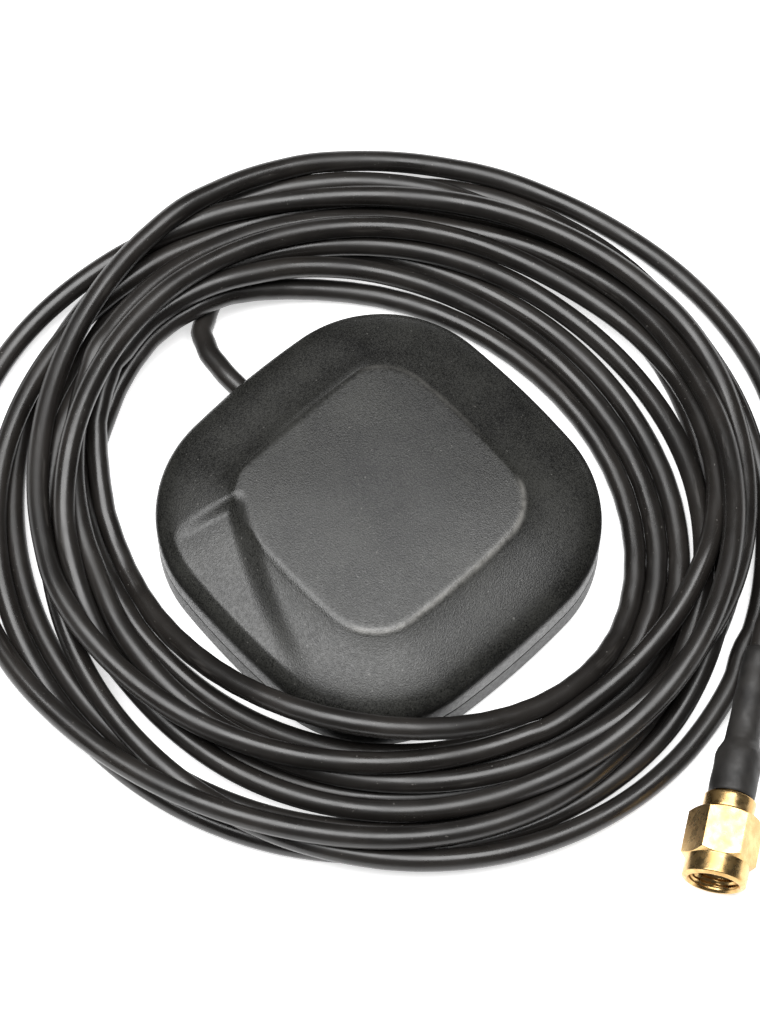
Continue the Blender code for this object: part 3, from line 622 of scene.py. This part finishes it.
M = {
    "cover": plastic_grain("cover_stippled_abs", (0.004, 0.004, 0.0038), (0.036, 0.036, 0.0325), 0.38,
                           grain=5600.0, depth=0.00004, strength=0.7, edge=True),
    "base": plastic_grain("base_stippled_abs", (0.016, 0.016, 0.0155), (0.034, 0.034, 0.033), 0.46,
                          depth=0.00002, strength=0.35),
    "rubber": simple("sealing_rubber", (0.014, 0.014, 0.014), (0.026, 0.026, 0.025), 0.72, scale=500.0,
                     fine=3500.0, depth=0.00003, specular=0.3),
    "pad": simple("foam_pad_rubber", (0.012, 0.012, 0.012), (0.030, 0.030, 0.029), 0.85, scale=1800.0,
                  fine=2600.0, depth=0.00008, strength=0.6, specular=0.25),
    "jacket": jacket_material(),
    "shrink": shrink_material(),
    "gold": gold_material("gold_plate", 1.0, 0.30),
    "nut_gold": gold_material("nut_gold_plate", 1.0, 0.28),
    "steel": simple("zinc_plated_steel", (0.50, 0.50, 0.48), (0.68, 0.68, 0.66), 0.3, 1.0, scale=900.0),
    "spring": simple("spring_wire", (0.42, 0.40, 0.37), (0.60, 0.58, 0.54), 0.28, 1.0, scale=1500.0),
    "nickel": simple("nickel_plate", (0.50, 0.49, 0.46), (0.66, 0.65, 0.62), 0.26, 1.0, scale=300.0),
    "tin": simple("tinned_steel", (0.58, 0.58, 0.57), (0.74, 0.74, 0.72), 0.3, 1.0, scale=450.0,
                  stretch=(1, 0.15, 1)),
    "silver": simple("fired_silver", (0.66, 0.65, 0.60), (0.82, 0.81, 0.77), 0.42, 1.0, scale=900.0,
                     fine=4500.0, depth=0.00002),
    "ceramic": simple("patch_ceramic", (0.52, 0.47, 0.36), (0.66, 0.61, 0.49), 0.5, scale=600.0),
    "capacitor": simple("capacitor_ceramic", (0.34, 0.24, 0.15), (0.46, 0.34, 0.22), 0.45, scale=2500.0),
    "board": board_material(),
    "epoxy": simple("moulding_epoxy", (0.012, 0.012, 0.013), (0.026, 0.026, 0.028), 0.45, scale=2500.0,
                    fine=9000.0),
    "lid": simple("filter_lid_gold", (0.62, 0.50, 0.28), (0.78, 0.66, 0.40), 0.25, 1.0, scale=1500.0),
    "tape": simple("acrylic_tape", (0.60, 0.60, 0.56), (0.74, 0.74, 0.70), 0.6, scale=800.0),
    "ptfe": simple("ptfe", (0.70, 0.69, 0.65), (0.84, 0.83, 0.79), 0.42, scale=700.0, fine=3000.0),
    "core": simple("core_dielectric", (0.62, 0.61, 0.58), (0.80, 0.79, 0.75), 0.45, scale=700.0),
}


def wear(ob, key):
    ob.data.materials.clear()
    ob.data.materials.append(M[key])
    return ob


# CAD nodes that stay, each with its own finish
for node, key in {
    "seal_gasket": "rubber", "magnet_left": "nickel", "magnet_right": "nickel", "screw_1": "steel",
    "screw_2": "steel", "screw_3": "steel", "screw_4": "steel", "lna_board": "board",
    "shield_can": "tin", "lna_chip": "epoxy", "saw_filter": "lid", "bypass_capacitor": "capacitor",
    "patch_tape": "tape", "patch_ceramic": "ceramic", "patch_electrode": "silver",
    "feed_pin": "gold", "cable_core": "core", "cable_ground_clamp": "tin", "snap_ring": "spring",
    "crimp_ferrule": "gold",
}.items():
    ob = nodes[node]
    for i in range(max(1, len(ob.material_slots))):
        if not ob.material_slots:
            ob.data.materials.append(M[key])
        else:
            ob.material_slots[i].material = M[key]

# ------------------------------------------------------------------ puck


def outline(inset, n_side, n_corner):
    """The puck's rounded square with bowed sides, moved in by inset; mm, counter-clockwise."""
    half, bow, corner, s = 8.0, 0.29, 17.0, 25.0
    big = (half * half + bow * bow) / (2 * bow)
    k = big - s
    c = (-2 * k + math.sqrt(4 * k * k - 8 * (k * k - (big - corner) ** 2))) / 4
    ang = math.atan2(c, c + k)
    t = -ang + 2 * ang * np.arange(n_side) / n_side
    u = ang + (math.pi / 2 - 2 * ang) * np.arange(n_corner) / n_corner
    x = np.r_[-k + (big - inset) * np.cos(t), c + (corner - inset) * np.cos(u)]
    y = np.r_[(big - inset) * np.sin(t), c + (corner - inset) * np.sin(u)]
    return np.concatenate([np.stack(p, 1) for p in ((x, y), (-y, x), (-x, -y), (y, -x))])


RIM = np.array([(0.0, 8.0), (0.12, 8.7), (0.5, 9.5), (1.2, 10.2), (2.2, 10.8), (3.0, 11.15),
                (9.2, 13.22), (9.8, 13.5), (10.4, 13.66)])


def rim_height(d):
    """Monotone cubic through the rim's section."""
    x, y = RIM[:, 0], RIM[:, 1]
    h, m = np.diff(x), np.diff(y) / np.diff(x)
    g = np.zeros(len(x))
    g[0], g[-1] = m[0] * 1.5, 0.0
    w1, w2 = 2 * h[1:] + h[:-1], h[1:] + 2 * h[:-1]
    g[1:-1] = (w1 + w2) / (w1 / m[:-1] + w2 / m[1:])
    d = np.clip(d, 0, x[-1])
    i = np.clip(np.searchsorted(x, d, side="right") - 1, 0, len(h) - 1)
    t = (d - x[i]) / h[i]
    return ((1 + 2 * t) * (1 - t) ** 2 * y[i] + t * (1 - t) ** 2 * h[i] * g[i]
            + t * t * (3 - 2 * t) * y[i + 1] + t * t * (t - 1) * h[i] * g[i + 1])


def ease(t):
    t = np.clip(t, 0, 1)
    return t * t * (3 - 2 * t)


def cover_height(x, y, d, f=1.0):
    """Height of the cover in mm at inset d; f runs from 1 at the plateau's edge to 0 in its middle."""
    z = rim_height(d) + 0.0 * x
    ax = np.abs(x)
    z = z - 0.5 * ease((y - 14.1) / 1.8) * (1 - ease((y - 16.4) / 8.4)) * (1 - ease((ax - 8.5) / 5.5))
    run = 12.5 - y
    crease = 12.8 + 0.58 * run - 0.0075 * run * run
    side = ease(((-x - crease) * 0.87 + 1.5) / 3.0)
    side = side * (1 - ease((y - (12.3 + 0.286 * (-x - 14.5)) + 1.1) / 2.2)) * ease((y + 12.0) / 7.0)
    facet = 10.25 + 0.2 * d
    z = z + (np.minimum(z, facet) - z) * side
    return z + 0.35 * (1 - f * f)


N_SIDE, N_CORNER = 38, 44
SEAM_TOP, SEAM_LOW = 4.9, 4.6


def cover_mesh():
    rings, worn = [], []
    for z in (4.98, 5.2, 6.0, 7.0):
        o = outline(0.0, N_SIDE, N_CORNER)
        rings.append(np.c_[o, np.full(len(o), z)])
        worn.append(0.2)
    insets = np.r_[0.0, 0.03, 0.07, 0.12, 0.2, 0.3, 0.42, 0.56, 0.72, 0.9, 1.1, 1.35,
                   np.arange(1.6, 10.41, 0.2)]
    for d in insets:
        o = outline(d, N_SIDE, N_CORNER)
        rings.append(np.c_[o, cover_height(o[:, 0], o[:, 1], d)])
        worn.append(0.55 * math.exp(-((d - 1.0) / 0.9) ** 2) + math.exp(-((d - 9.8) / 0.42) ** 2))
    edge = outline(10.4, N_SIDE, N_CORNER)
    for f in np.linspace(1, 0, 37)[1:-1]:
        rings.append(np.c_[edge * f, cover_height(edge[:, 0] * f, edge[:, 1] * f, 10.4, f)])
        worn.append(0.0)
    outer = len(rings)
    lip = outline(0.08, N_SIDE, N_CORNER)
    inner = []
    inner.append(np.c_[lip, np.full(len(lip), SEAM_TOP)])
    for z in (SEAM_TOP, 6.2, 7.4):
        o = outline(1.6, N_SIDE, N_CORNER)
        inner.append(np.c_[o, np.full(len(o), z)])
    for d in np.r_[1.6, 1.8, 2.1, 2.6, np.arange(3.2, 10.41, 0.6)]:
        o = outline(d, N_SIDE, N_CORNER)
        inner.append(np.c_[o, cover_height(o[:, 0], o[:, 1], d) - 1.6])
    for f in (0.8, 0.6, 0.4, 0.2):
        inner.append(np.c_[edge * f, cover_height(edge[:, 0] * f, edge[:, 1] * f, 10.4, f) - 1.6])
    everything = inner[::-1] + rings
    n = len(edge)
    verts = np.concatenate(everything)
    top = cover_height(np.zeros(1), np.zeros(1), 10.4, 0.0)[0]
    verts = np.r_[verts, [(0, 0, top - 1.6), (0, 0, top)]]
    faces = []
    idx = np.arange(len(everything) * n).reshape(len(everything), n)
    a, b = idx[:-1], idx[1:]
    faces = np.stack([a, b, np.roll(b, -1, 1), np.roll(a, -1, 1)], -1).reshape(-1, 4).tolist()
    low, high = len(verts) - 2, len(verts) - 1
    for i in range(n):
        j = (i + 1) % n
        faces.append([int(idx[0][i]), int(idx[0][j]), low])
        faces.append([int(idx[-1][i]), high, int(idx[-1][j])])
    me = bpy.data.meshes.new("top_cover_shell")
    me.from_pydata((verts * MM).tolist(), [], faces)
    me.update()
    w = np.concatenate([np.zeros(len(inner) * n), np.repeat(worn, n), [0, 0]])
    attribute(me, "worn", w)
    # the band along the plateau's edge, mostly on the -Y side, that gets the lighter painted highlight
    highlight_band = np.array([0.0] * 4 + [math.exp(-((d - 9.95) / 0.34) ** 2) for d in insets]
                    + [0.0] * (len(rings) - 4 - len(insets)))
    x, y = verts[:, 0], verts[:, 1]
    along = ease((-y - 9.0) / 3.0) + 0.3 * ease((x - 9.0) / 3.0) * ease((y + 5.0) / 8.0)
    attribute(me, "painted_highlight", np.concatenate([np.zeros(len(inner) * n), np.repeat(highlight_band, n), [0, 0]]) * along)
    return outward(me)


def prism(name, loop, z0, z1, chamfer=0.0):
    """Closed slab of an outline (mm), with a small chamfer on its lower edge."""
    rings = []
    if chamfer:
        centre = loop.mean(0)
        rings.append(np.c_[centre + (loop - centre) * (1 - chamfer / 25.0), np.full(len(loop), z0)])
        rings.append(np.c_[loop, np.full(len(loop), z0 + chamfer)])
    else:
        rings.append(np.c_[loop, np.full(len(loop), z0)])
    rings.append(np.c_[loop, np.full(len(loop), z1)])
    return new_object(name, outward(grid_mesh(name, np.array(rings) * MM, cap_start=True, cap_end=True)))


def lathe(name, profile, segs, radius=None, matrix=None):
    """Closed (radius, height) section in mm turned about Z; radius(r, z, angle) may reshape it."""
    prof = np.array(profile, float)
    theta = 2 * math.pi * np.arange(segs) / segs
    rings = []
    for k, (r, z) in enumerate(prof):
        rr = np.full(segs, r) if radius is None else radius(k, r, z, theta)
        rings.append(np.stack([rr * np.cos(theta), rr * np.sin(theta), np.full(segs, z)], 1))
    me = outward(grid_mesh(name, np.array(rings) * MM, close_path=True))
    return new_object(name, me, matrix)


def rod(name, profile, segs, matrix=None):
    """Solid turned piece: (radius, height) from one end to the other, ends closed."""
    theta = 2 * math.pi * np.arange(segs) / segs
    rings = [np.stack([r * np.cos(theta), r * np.sin(theta), np.full(segs, z)], 1) for r, z in profile]
    me = outward(grid_mesh(name, np.array(rings) * MM, cap_start=True, cap_end=True))
    return new_object(name, me, matrix)


def cut(ob, cutters, op="DIFFERENCE"):
    for c in cutters:
        m = ob.modifiers.new("cut", "BOOLEAN")
        m.operation = op
        m.object = c
        m.solver = "EXACT"
    dg = bpy.context.evaluated_depsgraph_get()
    me = bpy.data.meshes.new_from_object(ob.evaluated_get(dg))
    ob.modifiers.clear()
    ob.data = me
    for c in cutters:
        bpy.data.objects.remove(c, do_unlink=True)
    return ob


LEAD_HOLE = Matrix.Translation((0, 0.018, 0.00475)) @ Matrix.Rotation(-math.pi / 2, 4, "X")
CORNERS = ((1, 1), (-1, 1), (-1, -1), (1, -1))
SCREW_AT = 15.6

cover = new_object("top_cover_shell", cover_mesh())
bosses = [rod("boss", [(2.4, 2.6), (2.4, 10.4)], 40, Matrix.Translation((sx * SCREW_AT * MM, sy * SCREW_AT * MM, 0)))
          for sx, sy in CORNERS]
cut(cover, bosses, "UNION")
pilots = [rod("pilot", [(1.2, 0.0), (1.2, 8.2)], 32, Matrix.Translation((sx * SCREW_AT * MM, sy * SCREW_AT * MM, 0)))
          for sx, sy in CORNERS]
cut(cover, pilots + [rod("lead_hole", [(2.8, 0.0), (2.8, 12.0)], 64, LEAD_HOLE)])
smooth(wear(cover, "cover"), 32)
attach(cover, "antenna")
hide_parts("top_cover")

base = prism("base_plate_shell", outline(0.0, N_SIDE, N_CORNER), 0.5, SEAM_LOW, 0.35)
cut(base, [prism("tray", outline(1.6, N_SIDE, N_CORNER), 2.3, 6.0),
           prism("recess", outline(1.9, N_SIDE, N_CORNER), -1.0, 1.1)])
posts = [rod("post", [(1.2, 1.8), (1.2, 5.3)], 32, Matrix.Translation((sx * 8.0 * MM, sy * 12.2 * MM, 0)))
         for sx, sy in CORNERS]
cut(base, posts, "UNION")
sinks = [rod("sink", [(2.2, 0.2), (2.2, 1.6), (1.15, 2.3), (1.15, 3.0)], 40,
             Matrix.Translation((sx * SCREW_AT * MM, sy * SCREW_AT * MM, 0))) for sx, sy in CORNERS]
cut(base, sinks + [rod("lead_hole", [(2.8, 0.0), (2.8, 12.0)], 64, LEAD_HOLE)])
smooth(wear(base, "base"), 30)
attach(base, "antenna")
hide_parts("base_plate")

pad = prism("bottom_pad_sheet", outline(2.2, N_SIDE, N_CORNER), 0.0, 0.8, 0.15)
smooth(wear(pad, "pad"), 30)
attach(pad, "antenna")
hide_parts("bottom_pad")

grommet = lathe("cable_grommet_ring", [
    (2.5, 0.1), (2.5, 3.05), (2.42, 3.16), (2.3, 3.2), (1.75, 3.2), (1.55, 3.1), (1.5, 2.9),
    (1.5, 0.15), (1.6, 0.0), (2.4, 0.0)], 64,
    matrix=Matrix.Translation((0, 0.0214, 0.00475)) @ Matrix.Rotation(-math.pi / 2, 4, "X"))
smooth(wear(grommet, "rubber"), 40)
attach(grommet, "antenna")
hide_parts("cable_grommet")

# ------------------------------------------------------------------ SMA plug
# Local frame: origin at the front face, +Z forward, +X up; heights run back as negative numbers.
FORWARD = Vector((-BACK[0], -BACK[1], 0.0))
SIDE = Vector((FORWARD.y, -FORWARD.x, 0.0))
PLUG = Matrix(((0, SIDE.x, FORWARD.x, TIP[0] * MM), (0, SIDE.y, FORWARD.y, TIP[1] * MM),
               (1, 0, 0, TIP[2] * MM), (0, 0, 0, 1)))
HEX_HALF = 4.0
RING_R, RING_LEN, NUT_LEN = 3.95, 2.7, 8.7
PITCH = 0.7056


def fillet(points, steps=4):
    """Rounds the marked corners (r, z, radius) of a closed section."""
    out = []
    n = len(points)
    for i, p in enumerate(points):
        rad = p[2] if len(p) > 2 else 0
        c = np.array(p[:2], float)
        if not rad:
            out.append(c)
            continue
        a, b = np.array(points[i - 1][:2], float) - c, np.array(points[(i + 1) % n][:2], float) - c
        la, lb = np.linalg.norm(a), np.linalg.norm(b)
        rad = min(rad, 0.45 * la, 0.45 * lb)
        for t in np.linspace(0, 1, steps + 1):
            out.append((1 - t) ** 2 * (c + a / la * rad) + 2 * t * (1 - t) * c + t * t * (c + b / lb * rad))
    return out


def densify(points, step):
    out = []
    for i, p in enumerate(points):
        q = points[(i + 1) % len(points)]
        n = max(1, int(np.linalg.norm(np.array(q) - np.array(p)) / step))
        out += [tuple(np.array(p) + (np.array(q) - np.array(p)) * j / n) for j in range(n)]
    return out


def nut_shape(k, r, z, theta):
    if r > 3.6 and z < -RING_LEN + 0.02:
        flat = HEX_HALF / np.cos((theta + math.pi / 6) % (math.pi / 3) - math.pi / 6)
        h = np.clip(0.5 + 0.5 * (flat - r) / 0.05, 0, 1)
        return flat * (1 - h) + r * h - 0.05 * h * (1 - h)
    if 2.9 < r < 3.06 and -5.5 < z < -0.3:
        fade = min(1.0, (z + 5.5) / 0.5, (-0.3 - z) / 0.6)
        turn = (z / PITCH - theta / (2 * math.pi)) % 1.0
        return r - 0.24 * max(0.0, fade) * (1 - np.abs(2 * turn - 1))
    return np.full(len(theta), r)


CORNER_R = HEX_HALF / math.cos(math.pi / 6)
nut_section = densify(fillet([
    (3.42, 0.0, 0.06), (RING_R, -0.28, 0.12), (RING_R, -RING_LEN, 0.04),
    (CORNER_R + 0.1, -RING_LEN - 0.45), (CORNER_R + 0.1, -NUT_LEN + 0.35),
    (4.0, -NUT_LEN, 0.06), (2.75, -NUT_LEN, 0.08), (2.75, -6.7), (3.35, -6.7), (3.35, -5.5),
    (3.05, -5.5), (3.05, -0.32, 0.05), (3.3, 0.0, 0.06)]), 0.07)
nut = lathe("coupling_nut_machined", nut_section, 180, nut_shape, PLUG)
smooth(wear(nut, "nut_gold"), 38)
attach(nut, "nut")
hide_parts("coupling_nut")

body = lathe("connector_body_machined", densify(fillet([
    (2.15, -3.4, 0.08), (2.15, -5.0), (2.4, -5.0, 0.06), (2.4, -5.45, 0.04), (2.1, -5.45),
    (2.1, -6.7), (2.4, -6.7, 0.05), (2.4, -9.0), (3.2, -9.0, 0.18), (3.2, -11.0, 0.18),
    (0.95, -11.0), (0.95, -16.5), (0.65, -16.5), (0.65, -8.6), (1.85, -8.6), (1.85, -3.4, 0.06)]), 0.25),
    120, matrix=PLUG)
smooth(wear(body, "gold"), 38)
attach(body, "antenna")
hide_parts("connector_body")

insert = lathe("dielectric_insert_turned", densify(fillet([
    (1.55, -3.4, 0.06), (1.55, -8.3), (0.76, -8.3), (0.76, -3.4, 0.05)]), 0.3), 72, matrix=PLUG)
smooth(wear(insert, "ptfe"), 38)
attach(insert, "antenna")
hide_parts("dielectric_insert")

pin = rod("center_pin_turned", [(0.05, -1.1), (0.14, -1.12), (0.2, -1.2), (0.34, -1.45), (0.43, -1.68),
                                (0.46, -1.8), (0.46, -4.0), (0.46, -8.2), (0.33, -8.5), (0.33, -12.5)],
          48, PLUG)
smooth(wear(pin, "gold"), 38)
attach(pin, "antenna")
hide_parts("center_pin")

seal = lathe("mating_seal_ring_moulded", [
    (2.6 + 0.15 * math.cos(t), -4.45 + 0.3 * math.sin(t))
    for t in np.linspace(0, 2 * math.pi, 21)[:-1]], 96, matrix=PLUG)
smooth(wear(seal, "rubber"), 60)
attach(seal, "nut")
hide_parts("mating_seal_ring")


def sleeve_shape(k, r, z, theta):
    wave = (0.030 * np.sin(2 * theta + 0.9 * z) * math.sin(0.7 * z + 1.0)
            + 0.016 * np.sin(3 * theta - 1.7 * z + 0.6) + 0.012 * np.sin(5 * theta + 2.3 * z))
    return r + wave


sleeve_outer = [(2.72, -11.32), (2.86, -11.5), (2.9, -12.2), (2.9, -15.5), (2.88, -16.4),
                (2.78, -17.05), (2.52, -17.7), (2.26, -18.3), (2.15, -19.2), (2.11, -21.0),
                (2.10, -25.0), (2.08, -28.5), (2.0, -30.2), (1.86, -30.9), (1.72, -31.0)]
sleeve_inner = [(1.5, -30.95), (1.5, -30.0), (1.7, -28.5), (1.7, -17.8), (2.55, -17.2), (2.6, -16.5),
                (2.6, -11.32)]
sleeve = lathe("heat_shrink_sleeve", densify([tuple(p) for p in sleeve_outer + sleeve_inner], 0.22),
               84, sleeve_shape, PLUG)
smooth(wear(sleeve, "shrink"), 50)
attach(sleeve, "antenna")
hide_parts("heat_shrink")

# ------------------------------------------------------------------ lead
lead = new_object("coax_lead", tube_mesh("coax_lead", route, CABLE_D / 2, 16))
smooth(wear(lead, "jacket"), 60)
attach(lead, "antenna")
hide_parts("cable_lead_out", "cable_coil", "cable_tail")

# ------------------------------------------------------------------ floor and light
floor_mesh = bpy.data.meshes.new("floor")
bm = bmesh.new()
bmesh.ops.create_grid(bm, x_segments=2, y_segments=2, size=3.0)
bm.to_mesh(floor_mesh)
bm.free()
floor = new_object("floor", floor_mesh, Matrix.Translation((0, 0, -0.0001)))
s = Shader("pale_floor", specular=0.1)
s.bsdf.inputs["Emission Color"].default_value = (1.0, 1.0, 1.0, 1.0)
s.bsdf.inputs["Emission Strength"].default_value = 0.62
floor.data.materials.append(s.done(s.mix(s.noise(3.0, 2.0), (0.91, 0.91, 0.91), (0.92, 0.92, 0.92)),
                                   s.ramp(s.noise(40.0, 2.0), 0.3, 0.7, 0.85, 0.9)))

world = bpy.data.worlds.new("studio")
world.use_nodes = True
world.node_tree.nodes["Background"].inputs["Color"].default_value = (1.0, 1.0, 1.0, 1.0)
world.node_tree.nodes["Background"].inputs["Strength"].default_value = 0.06
scene.world = world


def softbox(name, right, away, up, width, height, radiance, aim=(0, 0, 0)):
    data = bpy.data.lights.new(name, "AREA")
    data.shape = "RECTANGLE"
    data.size, data.size_y = width, height
    data.energy = radiance * width * height * math.pi
    ob = bpy.data.objects.new(name, data)
    scene.collection.objects.link(ob)
    place = TARGET + RIGHT * right + AWAY * away + Vector((0, 0, up))
    ob.location = place
    back = (place - (TARGET + Vector(aim))).normalized()
    x = RIGHT - back * RIGHT.dot(back)
    x.normalize()
    y = back.cross(x)
    ob.matrix_world = Matrix((
        (x.x, y.x, back.x, place.x), (x.y, y.y, back.y, place.y), (x.z, y.z, back.z, place.z),
        (0, 0, 0, 1)))
    return ob


softbox("overhead", -0.08, -0.01, 0.80, 0.84, 0.56, 7.9)

scene.view_settings.view_transform = "Standard"
scene.view_settings.look = "None"
scene.view_settings.exposure = 0.0
scene.view_settings.gamma = 1.0
